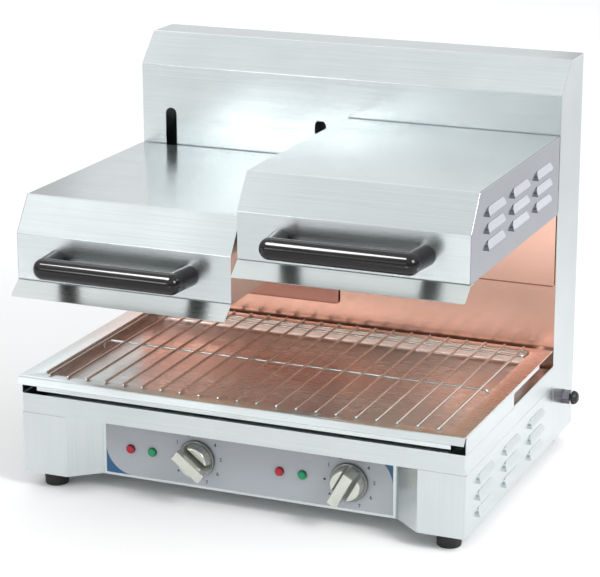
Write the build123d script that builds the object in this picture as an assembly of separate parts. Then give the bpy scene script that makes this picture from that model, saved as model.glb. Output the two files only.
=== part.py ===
from build123d import *
import math
import os

os.makedirs("parts", exist_ok=True)

# All sizes in mm. Working frame: X across and centred, Y = 0 on the front of the base, +Y to the
# rear, Z = 0 on the table. Every piece is moved to the shared frame when it is saved.
body_w = 600.0
base_d = 358.0
column_d = 95.0
foot_h = 22.0
sheet = 1.2
seam = 0.3
bend = 2.0
run_fit = 0.05
slip = 0.3

half_w = body_w / 2
inner_w = half_w - sheet
column_back = base_d + column_d
floor_z = foot_h

# Base cabinet: lower sides, band, upper walls and the rim the drip tray lies on.
pillar_w = 61.0
pillar_return = 14.0
band_low_h = 81.0
band_top_h = 107.0
rim_h = 132.0
band_z0 = floor_z + band_low_h
band_z1 = floor_z + band_top_h
rim_z = floor_z + rim_h
tray_t = 1.5
wall_top = rim_z - tray_t - slip
recess_d = 32.0
recess_in = 99.2
recess_half = half_w - recess_in
panel_gap = 0.8
panel_half = recess_half - panel_gap
film_t = 0.4
film_margin = 3.5
notch_y0 = 184.0
notch_sill = 2.0
notch_z0 = band_z1 + notch_sill
band_corner_r = 3.0
band_ledge = 10.0
band_hem = 12.0
rail_w = 14.0
rail_t = 1.5
rail_drop = 6.0
rail_y0 = 6.0
rail_back = 63.0
rail_y1 = base_d - rail_back
deck_gap = 6.0
deck_back = base_d - deck_gap
foot_low_r = 15.0
foot_top_r = 16.4
foot_sink = 11.0
foot_sink_r = 6.4
foot_inset = 30.0
foot_screw_r = 3.0
foot_screw_head_r = 5.6

# Rear column.
cap_low_h = 472.0
top_h = 511.5
cap_low_z = floor_z + cap_low_h
top_z = floor_z + top_h
cap_run = 39.0
cap_leg = 12.0
cap_bend = 2.6
slot_w = 16.5
edge_r = 1.0
rear_flange = 14.0
rear_screw_inset = rear_flange / 2
rear_screw_r = 2.0
rear_screw_head_r = 4.0
rear_screw_zs = (80.0, 200.0, 320.0, 440.0)

# Heads. Heights are counted from the lower edge of the hood.
head_gap = 9.0
head_x0 = head_gap / 2
slot_in = 29.5
slot_out = 43.5
slot_xs = (head_x0 + slot_in, half_w - slot_out)
head_y0 = 2.0
head_back_gap = 3.9
head_y1 = base_d - head_back_gap
head_h = 104.0
front_h = 60.0
chamfer_run = 30.0
lip_w = 14.0
left_rest = 280.0
right_rest = 338.0
head_low = 203.0
head_high = 350.0
skirt_out = 20.5
skirt_drop = 16.5
skirt_corner_r = 3.0
shield_drop = 98.0
shield_rise = 30.0
shield_in = 1.5
shield_out = 2.5
shield_corner_r = 3.0
handle_r = 13.6
handle_leg_r = 13.2
handle_half = 91.5
head_mid = (head_x0 + half_w) / 2
handle_xs = (head_mid - handle_half, head_mid + handle_half)
handle_z = 30.0
handle_out = 40.5
handle_lean = 4.5
handle_screw_r = 3.0
handle_screw_l = 22.0
handle_screw_head_r = 5.2
arm_t = 8.0
arm_clear = 0.25
arm_z0 = 40.0
arm_z1 = 82.0
slot_under = 1.7
slot_over = 3.0
slot_z0 = head_low + arm_z0 - slot_under
slot_z1 = head_high + arm_z1 + slot_over
arm_front = 212.0
plate_in = 26.0
plate_y0 = base_d + plate_in
plate_t = 4.0
carriage_z0 = 30.0
carriage_z1 = 92.0
carriage_side = 10.0
rod_back = 47.0
rod_y = base_d + rod_back
rod_in = 51.0
rod_xs = (slot_xs[0] + rod_in, slot_xs[1] - rod_in)
rod_r = 7.0
bearing_half = 17.0
strut_x = (slot_xs[0] + slot_xs[1]) / 2
strut_lug_half = 12.0
strut_end_t = 6.0
strut_top = 225.0
strut_r = 11.0
strut_bore = 8.0
strut_rod_r = 4.0
bar_h = 20.0
bar_half = 14.0
bar_t = 3.0
bar_z0 = 36.0
bar_z1 = bar_z0 + bar_h
upper_bar_drop = 4.0
upper_bar_z0 = cap_low_z - upper_bar_drop
reflector_t = 1.0
reflector_top = 30.0
trough_rim_x = 17.0
trough_rim_y = 19.0
trough_taper = 30.0
trough_x = half_w - head_x0 - 2 * trough_rim_x
trough_y = head_y1 - head_y0 - 2 * trough_rim_y
wool_side = 8.0
wool_front = 30.0
element_r = 4.0
element_z = 14.0
element_rows = 6
element_side_gap = 42.0
element_end_gap = 35.0
element_pitch = (trough_y - 2 * element_side_gap) / (element_rows - 1)
element_bend = 20.0
element_leg_top = 58.0
leg_clear = 1.0
hanger_x = 55.0
hanger_t = 3.0
hanger_over = 9.0
hanger_under = 8.0
hanger_clear = 0.25
hanger_z1 = reflector_top - reflector_t
head_louvre_y = 57.0
head_louvre_step = 96.5
head_louvre_z = 27.5
head_louvre_rise = 20.5
head_louvre_l = 64.0
head_louvre_h = 11.5

# Controls.
control_h = 39.5
control_z = floor_z + control_h
knob_xs = (-0.3375 * panel_half, 0.6975 * panel_half)
power_off = 0.4665 * panel_half
ready_off = 0.313 * panel_half
power_xs = tuple(x - power_off for x in knob_xs)
ready_xs = tuple(x - ready_off for x in knob_xs)
knob_turn = (128.0, 209.0)
knob_r = 25.0
knob_disc_t = 4.0
knob_lobe_h = 13.0
knob_lobe_r = 22.0
knob_bar_half = 6.8
knob_bar_h = 32.0
knob_groove = 4.4
knob_gap = 0.8
spindle_r = 3.0
spindle_in = 17.0
bush_r = 5.0
hole_clear = 0.2
thermostat_half_w = 22.0
thermostat_half_h = 18.0
thermostat_l = 32.0
lamp_r = 6.0
lamp_lens_h = 4.2
lamp_neck_r = 4.7
lamp_body_r = 6.5
lamp_body_l = 20.0
cutout_h = 51.5
cutout_y = rod_y
cutout_z = floor_z + cutout_h
cutout_out = 22.0
cutout_neck_r = 5.0
cutout_neck_l = 17.0
cutout_half = 15.0
cutout_l = 28.0
cutout_nut_r = 9.6
cutout_nut_h = 11.0
cutout_cap_r = 9.4
cutout_cap_h = 8.0

louvre_out = 4.0
rear_head_out = 2.2

# Drip tray and rack.
tray_front = -6.0
tray_gap = 2.0
tray_back = deck_back - tray_gap
tray_lip_out = 6.5
tray_lip_drop = 9.2
tray_lip_flat = 8.0
tray_lip_r = 2.2
apron_in = 20.5
apron_half = half_w - apron_in
apron_gap = 4.2
rim_w = 26.0
well_half = half_w - rim_w
well_front = 14.0
rim_back = 12.0
well_back = tray_back - rim_back
well_depth = 22.0
wire_r = 1.6
wire_count = 21
wire_inset = 12.0
wire_half = well_half - wire_inset
wire_y0 = 5.0
wire_back_gap = 4.0
wire_y1 = tray_back - wire_back_gap
wire_end_r = 0.9
weld_sink = 0.5
cross_out = 8.0
cross_drop = 11.0
cross_bend = 5.0
cross_y = 170.0
rear_run_gap = 4.0
rear_run_w = 18.0
rear_run_y1 = well_back - rear_run_gap
rear_run_y0 = rear_run_y1 - rear_run_w

# The shared frame has its origin under the middle of the whole outline, on the table.
x_mid = (half_w + cutout_out - (half_w + louvre_out)) / 2
y_mid = (column_back + rear_head_out + head_y0 - handle_out - handle_r) / 2
to_frame = Location((-x_mid, -y_mid, 0))


def block(x0, x1, y0, y1, z0, z1):
    return Pos((x0 + x1) / 2, (y0 + y1) / 2, (z0 + z1) / 2) * Box(x1 - x0, y1 - y0, z1 - z0)


def rod_x(y, z, x0, x1, r):
    return Pos((x0 + x1) / 2, y, z) * Rot(0, 90, 0) * Cylinder(r, x1 - x0)


def rod_along_y(x, z, y0, y1, r):
    return Pos(x, (y0 + y1) / 2, z) * Rot(90, 0, 0) * Cylinder(r, y1 - y0)


def rod_z(x, y, z0, z1, r):
    return Pos(x, y, (z0 + z1) / 2) * Cylinder(r, z1 - z0)


def lift_point(axis, uv, a):
    if axis == "x":
        return (a, uv[0], uv[1])
    if axis == "y":
        return (uv[0], a, uv[1])
    return (uv[0], uv[1], a)


def drop_point(axis, p):
    if axis == "x":
        return (p.Y, p.Z)
    if axis == "y":
        return (p.X, p.Z)
    return (p.X, p.Y)


def prism(axis, points, a0, a1):
    face = make_face(Polyline(*[lift_point(axis, p, a0) for p in points], close=True))
    way = lift_point(axis, (0, 0), 1)
    return extrude(face, amount=a1 - a0, dir=way)


def offset_path(points, t):
    lines = []
    for p, q in zip(points, points[1:]):
        du, dv = q[0] - p[0], q[1] - p[1]
        n = math.hypot(du, dv)
        nu, nv = -dv / n * t, du / n * t
        lines.append(((p[0] + nu, p[1] + nv), (du / n, dv / n)))
    out = [lines[0][0]]
    for (p, d), (q, e) in zip(lines, lines[1:]):
        cross = d[0] * e[1] - d[1] * e[0]
        s = ((q[0] - p[0]) * e[1] - (q[1] - p[1]) * e[0]) / cross
        out.append((p[0] + d[0] * s, p[1] + d[1] * s))
    p, d = lines[-1]
    last = math.dist(points[-2], points[-1])
    out.append((p[0] + d[0] * last, p[1] + d[1] * last))
    return out


def round_corners(solid, axis, spots, r):
    ways = {"x": Axis.X, "y": Axis.Y, "z": Axis.Z}
    picked = []
    for edge in solid.edges().filter_by(ways[axis]):
        at = drop_point(axis, edge.center())
        if any(math.dist(at, spot) < 0.01 for spot in spots):
            picked.append(edge)
    return fillet(picked, r) if picked else solid


def round_rim(panel, low_z):
    # Rounds the outer edges of a side panel, apart from its lower edge.
    rim = [e for e in panel.edges() if abs(e.bounding_box().min.X - half_w) < 0.01]
    return fillet([e for e in rim if e.center().Z > low_z + 0.01], edge_r)


def fold(axis, points, t, a0, a1, r=bend):
    # Sheet bent along a path: t is its thickness, to the left of the path when positive.
    inside = offset_path(points, t)
    solid = prism(axis, points + inside[::-1], a0, a1)
    outer, inner = [], []
    for i in range(1, len(points) - 1):
        p, q, s = points[i - 1], points[i], points[i + 1]
        turn = (q[0] - p[0]) * (s[1] - q[1]) - (q[1] - p[1]) * (s[0] - q[0])
        same_side = turn * t > 0
        outer.append(q if same_side else inside[i])
        inner.append(inside[i] if same_side else q)
    solid = round_corners(solid, axis, outer, r)
    return round_corners(solid, axis, inner, r - abs(t))


def bent_path(points, r):
    edges = []
    at = Vector(*points[0])
    for i in range(1, len(points) - 1):
        p, q, s = Vector(*points[i - 1]), Vector(*points[i]), Vector(*points[i + 1])
        a, b = (p - q).normalized(), (s - q).normalized()
        half = math.acos(max(-1, min(1, a.dot(b)))) / 2
        reach = r / math.tan(half)
        start, end = q + a * reach, q + b * reach
        middle = q + (a + b).normalized() * (r / math.sin(half) - r)
        edges.append(Line(at, start))
        edges.append(ThreePointArc(start, middle, end))
        at = end
    edges.append(Line(at, Vector(*points[-1])))
    return Wire(edges)


def pipe(points, r_bend, r):
    path = bent_path(points, r_bend)
    way = Vector(*points[1]) - Vector(*points[0])
    return sweep(Plane(origin=points[0], z_dir=way) * Circle(r), path=path)


def grouped(solids):
    return Compound(list(solids))


def save(name, shape):
    placed = to_frame * shape
    placed.label = name
    export_step(placed, "parts/" + name + ".step")
    print("saved", name)


def mirrored(shape):
    return mirror(shape, about=Plane.YZ)


def louvre_shapes(length, height):
    # A pressed louvre on the plane X = 0, open at its lower edge.
    knee = height * 0.15
    outer = prism("y", [(-0.6, 0), (louvre_out, 0), (louvre_out, knee), (0.5, height), (-0.6, height)],
                  0, length)
    tops = outer.edges().filter_by(Axis.Y).sort_by(Axis.X)
    outer = fillet([e for e in tops if abs(e.center().X - louvre_out) < 0.01 and e.center().Z > 1], 1.8)
    ends = prism("x", [(0, 0), (length, 0), (length, height), (0, height)], -0.6, louvre_out)
    ends = fillet(ends.edges().filter_by(Axis.X).sort_by(Axis.Z)[-2:], height * 0.7)
    outer = outer & ends
    hollow = prism("y", [(-3, -0.4), (louvre_out - 1, -0.4), (louvre_out - 1, knee - 0.3),
                         (0.1, height - 1.4), (-3, height - 1.4)], 1, length - 1)
    hollow_ends = prism("x", [(1, -0.4), (length - 1, -0.4), (length - 1, height - 1.4), (1, height - 1.4)],
                        -3, louvre_out)
    hollow_ends = fillet(hollow_ends.edges().filter_by(Axis.X).sort_by(Axis.Z)[-2:], height * 0.7 - 1)
    return outer, hollow & hollow_ends


def add_louvres(panel, spots, length, height):
    outer, hollow = louvre_shapes(length, height)
    panel = panel.fuse(*[Pos(half_w, y, z) * outer for y, z in spots])
    return panel.cut(*[Pos(half_w, y, z) * hollow for y, z in spots])


# Base cabinet.
base_louvre_y = 44.0
base_louvre_step = 104.0
base_louvre_z = 13.0
base_louvre_rise = 21.5
base_louvre_l = 60.0
louvre_h = 11.0


def base_side():
    panel = block(inner_w, half_w, sheet, base_d, floor_z, band_z0)
    ys = [base_louvre_y + base_louvre_step * i for i in range(3)]
    zs = [floor_z + base_louvre_z + base_louvre_rise * i for i in range(3)]
    return add_louvres(panel, [(y, z) for y in ys for z in zs], base_louvre_l, louvre_h)


def pillar():
    path = [(half_w, 0), (half_w - pillar_w, 0), (recess_half, recess_d),
            (recess_half - pillar_return, recess_d)]
    return fold("z", path, -sheet, floor_z, band_z0)


def band_frame():
    z0, z1 = band_z0 + seam, band_z1
    outer = block(-half_w, half_w, 0, base_d, z0, z1)
    corners = outer.edges().filter_by(Axis.Z).sort_by(Axis.Y)[:2]
    outer = fillet(corners, band_corner_r)
    inner = block(-inner_w, inner_w, sheet, base_d + 1, z0 - 1, z1 + 1)
    inner = fillet(inner.edges().filter_by(Axis.Z).sort_by(Axis.Y)[:2], band_corner_r - sheet)
    frame = outer - inner
    ledge = inner_w - band_ledge
    top = block(-inner_w, inner_w, sheet, base_d - band_ledge, z1 - sheet, z1)
    top = top - block(-ledge, ledge, sheet + band_ledge, base_d, z1 - 2 * sheet, z1 + 1)
    hem = inner_w - band_corner_r
    foot = block(-hem, hem, sheet, sheet + band_hem, z0, z0 + sheet)
    return frame.fuse(top, foot)


def upper_wall():
    wall = block(inner_w, half_w, 0, base_d, band_z1 + seam, wall_top)
    wall = wall - block(inner_w - 1, half_w + 1, notch_y0, base_d + 1, notch_z0, wall_top + 1)
    return wall


def tray_rail():
    path = [(inner_w - rail_w, wall_top), (inner_w, wall_top), (inner_w, wall_top - rail_drop)]
    return fold("y", path, -rail_t, rail_y0, rail_y1)


def base_floor():
    plate = block(-inner_w, inner_w, sheet, column_back - sheet, floor_z, floor_z + sheet)
    clear = half_w - pillar_w + bend
    plate = plate - block(-clear, clear, 0, recess_d + sheet, 0, 100)
    for x, y in foot_spots:
        plate = plate - rod_z(x, y, 0, 100, foot_screw_r + hole_clear)
    return plate


def base_deck():
    z1 = band_z1 - sheet
    path = [(sheet + bend, z1), (deck_back, z1), (deck_back, floor_z + sheet)]
    return fold("x", path, -sheet, -inner_w + slip, inner_w - slip)


foot_spots = [(s * (half_w - foot_inset), y) for s in (-1, 1) for y in (foot_inset, column_back - foot_inset)]


def foot():
    body = Cone(foot_low_r, foot_top_r, foot_h, align=(Align.CENTER, Align.CENTER, Align.MIN))
    body = fillet(body.edges().filter_by(GeomType.CIRCLE).sort_by(Axis.Z)[:1], 1.5)
    sink = rod_z(0, 0, -1, foot_sink, foot_sink_r)
    return body - sink - rod_z(0, 0, -1, foot_h + 1, foot_screw_r + hole_clear)


def foot_screw():
    head = rod_z(0, 0, foot_sink - 4, foot_sink, foot_screw_head_r)
    shank = rod_z(0, 0, foot_sink - 4, foot_h + sheet + 8, foot_screw_r)
    nut = Pos(0, 0, foot_h + sheet) * extrude(RegularPolygon(1.9 * foot_screw_r, 6), 5)
    return head.fuse(shank, nut)


def control_panel():
    plate = block(-panel_half, panel_half, recess_d - sheet, recess_d, floor_z, band_z0)
    for x in knob_xs:
        plate = plate - rod_along_y(x, control_z, 0, 60, bush_r + hole_clear)
    for x in power_xs + ready_xs:
        plate = plate - rod_along_y(x, control_z, 0, 60, lamp_neck_r + hole_clear)
    return plate


def control_overlay():
    front = recess_d - sheet
    film = block(-panel_half + film_margin, panel_half - film_margin, front - film_t, front,
                 floor_z + film_margin, band_z0 - 1)
    for x in knob_xs:
        film = film - rod_along_y(x, control_z, 0, 60, bush_r + 2 * hole_clear)
    for x in power_xs + ready_xs:
        film = film - rod_along_y(x, control_z, 0, 60, lamp_neck_r + hole_clear)
    return film


def lamp(x):
    front = recess_d - sheet - film_t
    neck = rod_along_y(x, control_z, front - 1, recess_d + 2, lamp_neck_r)
    body = rod_along_y(x, control_z, recess_d, recess_d + lamp_body_l, lamp_body_r)
    lens = rod_along_y(x, control_z, front - lamp_lens_h, front, lamp_r)
    lens = fillet(lens.edges().filter_by(GeomType.CIRCLE).sort_by(Axis.Y)[:1], 3.0)
    return neck.fuse(body, lens)


def thermostat(x):
    w, h = thermostat_half_w, thermostat_half_h
    body = block(x - w, x + w, recess_d, recess_d + thermostat_l, control_z - h, control_z + h)
    body = fillet(body.edges().filter_by(Axis.Y), 4.0)
    bush = rod_along_y(x, control_z, recess_d - sheet - film_t - 0.3, recess_d + 1, bush_r)
    bore = rod_along_y(x, control_z, 0, recess_d + spindle_in + 1, spindle_r + run_fit)
    return body.fuse(bush) - bore


knob_back = recess_d - sheet - film_t - knob_gap
knob_front = knob_back - knob_bar_h
spindle_tip = knob_front + 11.0


def spindle(x):
    return rod_along_y(x, control_z, spindle_tip, recess_d + spindle_in, spindle_r)


def knob():
    # Built at the origin with its axis on Y; the pointer end of the grip bar is on +Z. A groove on each
    # side parts the bar from the two lobes.
    disc_y = knob_back - knob_disc_t
    disc = rod_along_y(0, 0, disc_y, knob_back, knob_r)
    disc = fillet(disc.edges().filter_by(GeomType.CIRCLE).sort_by(Axis.Y)[:1], 1.6)
    lobes = Pos(0, disc_y, 0) * Rot(90, 0, 0) * Cone(
        knob_lobe_r, knob_lobe_r - 2.5, knob_lobe_h, align=(Align.CENTER, Align.CENTER, Align.MIN))
    lobes = fillet(lobes.edges().filter_by(GeomType.CIRCLE).sort_by(Axis.Y)[:1], 2.5)
    groove = knob_bar_half + knob_groove
    lobes = lobes - block(-groove, groove, knob_front, disc_y, -knob_r, knob_r)
    bar = block(-knob_bar_half, knob_bar_half, knob_front, disc_y + 1, -knob_lobe_r, knob_r - 0.5)
    bar = fillet(bar.edges().filter_by(Axis.Y), 2.0)
    bar = fillet(bar.edges().group_by(Axis.Y)[0], 1.4)
    hole = rod_along_y(0, 0, spindle_tip - 0.5, knob_back + 1, spindle_r + run_fit)
    return disc.fuse(*lobes.solids(), bar) - hole


def placed_knob(i):
    return Pos(knob_xs[i], 0, control_z) * Rot(0, knob_turn[i], 0) * knob()


# Column.
def column_side():
    path = [(base_d, floor_z), (base_d, cap_low_z), (base_d + cap_run, top_z),
            (column_back, top_z), (column_back, floor_z)]
    plate = round_rim(prism("x", path, inner_w, half_w), floor_z)
    y1 = column_back - sheet
    flange = block(inner_w - rear_flange, inner_w, y1 - sheet, y1, bar_z1 + 6, upper_bar_z0 - 10)
    side = plate.fuse(flange)
    for z in rear_screw_zs:
        side = side - rod_along_y(inner_w - rear_screw_inset, z, y1 - 4, y1 + 1, rear_screw_r + 0.1)
    return side


def right_column_side():
    return column_side() - rod_x(cutout_y, cutout_z, inner_w - 1, half_w + 1, cutout_neck_r + hole_clear)


def slot_cut(x):
    r = slot_w / 2
    mid = block(x - r, x + r, base_d - 1, base_d + sheet + 1, slot_z0 + r, slot_z1 - r)
    low = rod_along_y(x, slot_z0 + r, base_d - 1, base_d + sheet + 1, r)
    high = rod_along_y(x, slot_z1 - r, base_d - 1, base_d + sheet + 1, r)
    return mid.fuse(low, high)


def column_front():
    plate = block(-inner_w, inner_w, base_d, base_d + sheet, floor_z + sheet, cap_low_z - cap_leg)
    return plate.cut(*[slot_cut(s * x) for x in slot_xs for s in (-1, 1)])


def column_cap():
    path = [(base_d, cap_low_z - cap_leg), (base_d, cap_low_z), (base_d + cap_run, top_z),
            (column_back, top_z)]
    return fold("x", path, -sheet, -inner_w, inner_w, cap_bend)


vent_step = 120.0
vent_l = 80.0
vent_h = 5.0
vent_rise = 14.0
vent_rows = 6
vent_low_z = 90.0
vent_high_z = 412.0


def rear_cover():
    y1 = column_back
    plate = block(-inner_w, inner_w, y1 - sheet, y1, floor_z + sheet, top_z - sheet - seam)
    for z in rear_screw_zs:
        for s in (-1, 1):
            x = s * (inner_w - rear_screw_inset)
            plate = plate - rod_along_y(x, z, y1 - 4, y1 + 1, rear_screw_r + 0.1)
    cuts = []
    for column in (-1.5, -0.5, 0.5, 1.5):
        x = column * vent_step
        for low in (vent_low_z, vent_high_z):
            for i in range(vent_rows):
                z = low + vent_rise * i
                slot = block(x - vent_l / 2, x + vent_l / 2, y1 - 2 * sheet, y1 + sheet, z, z + vent_h)
                cuts.append(fillet(slot.edges().filter_by(Axis.Y), 0.48 * vent_h))
    return plate.cut(*cuts)


def rear_screw(x, z):
    shank = rod_along_y(x, z, column_back - 8, column_back + 0.5, rear_screw_r)
    head = rod_along_y(x, z, column_back, column_back + rear_head_out, rear_screw_head_r)
    head = fillet(head.edges().filter_by(GeomType.CIRCLE).sort_by(Axis.Y)[-1:], 1.2)
    return head.fuse(shank)


def crossbar(z0):
    bar = block(-inner_w, inner_w, rod_y - bar_half, rod_y + bar_half, z0, z0 + bar_h)
    half = bar_half - bar_t
    return bar - block(-half_w, half_w, rod_y - half, rod_y + half, z0 + bar_t, z0 + bar_h - bar_t)


def strut_body(x):
    tube = rod_z(x, rod_y, bar_z1, strut_top, strut_r)
    bore = rod_z(x, rod_y, bar_z1 + strut_end_t, strut_top - strut_end_t, strut_bore)
    neck = rod_z(x, rod_y, strut_top - strut_end_t - 1, strut_top + 1, strut_rod_r + run_fit)
    return tube - bore - neck


def cutout_switch():
    y, z, h = cutout_y, cutout_z, cutout_half
    box = block(inner_w - cutout_l, inner_w, y - h, y + h, z - h, z + h)
    return box.fuse(rod_x(y, z, inner_w - 1, half_w + cutout_neck_l, cutout_neck_r))


def cutout_nut():
    seat = Plane(origin=(half_w, cutout_y, cutout_z), x_dir=(0, 1, 0), z_dir=(1, 0, 0))
    nut = extrude(seat * RegularPolygon(cutout_nut_r, 6), cutout_nut_h)
    washer = rod_x(cutout_y, cutout_z, half_w, half_w + 1.5, cutout_nut_r + 0.4)
    bore = rod_x(cutout_y, cutout_z, half_w - 1, half_w + cutout_out, cutout_neck_r + run_fit)
    return nut.fuse(washer) - bore


def cutout_cap():
    x1 = half_w + cutout_out
    x0 = x1 - cutout_cap_h
    cap = rod_x(cutout_y, cutout_z, x0, x1, cutout_cap_r)
    cap = fillet(cap.edges().filter_by(GeomType.CIRCLE).sort_by(Axis.X)[-1:], 7.0)
    neck_end = half_w + cutout_neck_l + hole_clear
    return cap - rod_x(cutout_y, cutout_z, x0 - 1, neck_end, cutout_neck_r + run_fit)


# One head, built as the right-hand one with its lower edge on Z = 0.
hood_path = [(head_y0, 0), (head_y0, front_h), (head_y0 + chamfer_run, head_h),
             (head_y1, head_h), (head_y1, 0)]


def hood():
    path = [(head_y0 + lip_w, 0)] + hood_path + [(head_y1 - lip_w, 0)]
    shell = fold("x", path, -sheet, head_x0, inner_w)
    end = prism("x", hood_path, head_x0, head_x0 + sheet)
    end = round_corners(end, "x", hood_path, bend)
    lip = block(head_x0, head_x0 + lip_w, head_y0 + lip_w - 2, head_y1 - lip_w + 2, 0, sheet)
    shell = shell.fuse(end, lip)
    for x in slot_xs:
        half = arm_t / 2 + arm_clear
        z0, z1 = arm_z0 - arm_clear, arm_z1 + arm_clear
        shell = shell - block(x - half, x + half, head_y1 - 5, head_y1 + 5, z0, z1)
    for x in handle_xs:
        shell = shell - rod_along_y(x, handle_z, head_y0 - 2, head_y0 + 4, handle_screw_r + hole_clear)
    return shell


def hood_side():
    panel = prism("x", hood_path, inner_w, half_w)
    panel = round_rim(round_corners(panel, "x", hood_path, bend), 0)
    lip = block(inner_w - lip_w + 3, inner_w, head_y0 + lip_w + 0.2, head_y1 - lip_w - 0.2, 0, sheet)
    ys = [head_louvre_y + head_louvre_step * i for i in range(3)]
    zs = [head_louvre_z + head_louvre_rise * i for i in range(3)]
    return add_louvres(panel.fuse(lip), [(y, z) for y in ys for z in zs], head_louvre_l, head_louvre_h)


def skirt():
    path = [(head_y0 + lip_w - 2, 0), (head_y0, 0), (head_y0 - skirt_out, -skirt_drop)]
    strip = fold("x", path, sheet, head_x0, half_w, 1.6)
    ends = [e for e in strip.edges() if e.length < 2 and e.center().Z < -skirt_drop + 2]
    return fillet([e for e in ends if e.center().X > head_mid], skirt_corner_r)


def ball_point(x, y, z, way):
    reach = handle_r * math.sqrt(0.5)
    return (x + way * reach, y, z + reach)


def handle():
    # A bar with ball ends; its two legs lean apart towards the hood and are cut flush with its face.
    z = handle_z
    y = head_y0 - handle_out
    r = handle_r
    x0, x1 = handle_xs[0] + handle_lean, handle_xs[1] - handle_lean
    rim = [ThreePointArc((x0 - r, y, z), ball_point(x0, y, z, -1), (x0, y, z + r)),
           Line((x0, y, z + r), (x1, y, z + r)),
           ThreePointArc((x1, y, z + r), ball_point(x1, y, z, 1), (x1 + r, y, z)),
           Line((x1 + r, y, z), (x0 - r, y, z))]
    bar = revolve(make_face(Wire(rim)), Axis((x0, y, z), (1, 0, 0)))
    legs = []
    for x, way in ((x0, -1), (x1, 1)):
        start = Plane(origin=(x, y, z), z_dir=(way * handle_lean, handle_out, 0))
        legs.append(extrude(start * Circle(handle_leg_r), handle_out + r))
    wide = 2 * r
    face = head_y0
    grip = bar.fuse(*legs) - block(x0 - 2 * wide, x1 + 2 * wide, face, face + wide, z - wide, z + wide)
    for x in handle_xs:
        grip = grip - rod_along_y(x, z, face - handle_screw_l - 2, face + 2, handle_screw_r + run_fit)
    return grip


def handle_screw(x):
    shank = rod_along_y(x, handle_z, head_y0 - handle_screw_l, head_y0 + sheet + 1, handle_screw_r)
    head = rod_along_y(x, handle_z, head_y0 + sheet, head_y0 + sheet + 4, handle_screw_head_r)
    return shank.fuse(head)


def rear_shield():
    x0, x1 = head_x0 + shield_in, half_w - shield_out
    plate = block(x0, x1, head_y1, head_y1 + sheet, -shield_drop, shield_rise)
    low = plate.edges().filter_by(Axis.Y).sort_by(Axis.Z)[:2]
    return fillet(low, shield_corner_r)


def trough(x_in, y_in, grow, z0, z1):
    ym = (head_y0 + head_y1) / 2
    w, d = x_in + 2 * grow, y_in + 2 * grow
    low = Pos(head_mid, ym, z0) * Rectangle(w, d)
    high = Pos(head_mid, ym, z1) * Rectangle(w - 2 * trough_taper, d - 2 * trough_taper)
    return loft([low, high])


def element_path():
    ym = (head_y0 + head_y1) / 2
    half = trough_x / 2 - element_end_gap
    x0, x1 = head_mid - half, head_mid + half
    ys = [ym + element_pitch * (i - (element_rows - 1) / 2) for i in range(element_rows)]
    points = [(x0, ys[0], element_leg_top)]
    for i, y in enumerate(ys):
        ends = (x0, x1) if i % 2 == 0 else (x1, x0)
        points.append((ends[0], y, element_z))
        points.append((ends[1], y, element_z))
    points.append((x0, ys[-1], element_leg_top))
    return points


def reflector():
    z0 = sheet
    flange = block(head_x0 + sheet + slip, inner_w - slip, head_y0 + bend + slip, head_y1 - bend - slip,
                   z0, z0 + reflector_t)
    outer = trough(trough_x, trough_y, reflector_t, z0, reflector_top)
    inner = trough(trough_x, trough_y, 0, z0 - 0.01, reflector_top - reflector_t)
    shell = flange.fuse(outer) - inner
    points = element_path()
    for p in (points[0], points[-1]):
        shell = shell - rod_z(p[0], p[1], reflector_top - 5, reflector_top + 5, element_r + leg_clear)
    return shell


def insulation():
    x0, x1 = head_x0 + wool_side, inner_w - wool_side
    pad = block(x0, x1, head_y0 + wool_front, head_y1 - wool_side, reflector_top, arm_z0 - slip)
    points = element_path()
    for p in (points[0], points[-1]):
        pad = pad - rod_z(p[0], p[1], reflector_top - 5, arm_z0 + 5, element_r + leg_clear)
    return pad


def element():
    return pipe(element_path(), element_bend, element_r)


def element_hanger(x):
    ys = [p[1] for p in element_path()[1:-1:2]]
    half = hanger_t / 2
    y0, y1 = ys[0] - hanger_over, ys[-1] + hanger_over
    bar = block(x - half, x + half, y0, y1, element_z - hanger_under, hanger_z1)
    for y in ys:
        bar = bar - rod_x(y, element_z, x - hanger_t, x + hanger_t, element_r + hanger_clear)
    return bar


def carriage():
    x0, x1 = slot_xs
    back = plate_y0 + plate_t - 1
    side = carriage_side
    plate = block(x0 - side, x1 + side, plate_y0, plate_y0 + plate_t, carriage_z0, carriage_z1)
    lug = strut_lug_half
    pieces = [block(strut_x - lug, strut_x + lug, back, rod_y + lug, carriage_z0, carriage_z0 + lug)]
    for x in slot_xs:
        a, b = x - arm_t / 2, x + arm_t / 2
        pieces.append(block(a, b, arm_front, plate_y0 + 1, arm_z0, arm_z1))
        pieces.append(block(a, b, arm_front, head_y1 - sheet - bend, arm_z0, head_h - sheet))
    for x in rod_xs:
        a, b = x - bearing_half, x + bearing_half
        pieces.append(block(a, b, back, rod_y + bearing_half, carriage_z0, carriage_z1))
    body = plate.fuse(*pieces)
    for x in rod_xs:
        body = body - rod_z(x, rod_y, carriage_z0 - 1, carriage_z1 + 1, rod_r + run_fit)
    return body


def strut_rod():
    low = bar_z1 + strut_end_t + 4 - head_low
    piston = rod_z(strut_x, rod_y, low, low + 4, strut_bore - run_fit)
    return piston.fuse(rod_z(strut_x, rod_y, low, carriage_z0, strut_rod_r))


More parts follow.
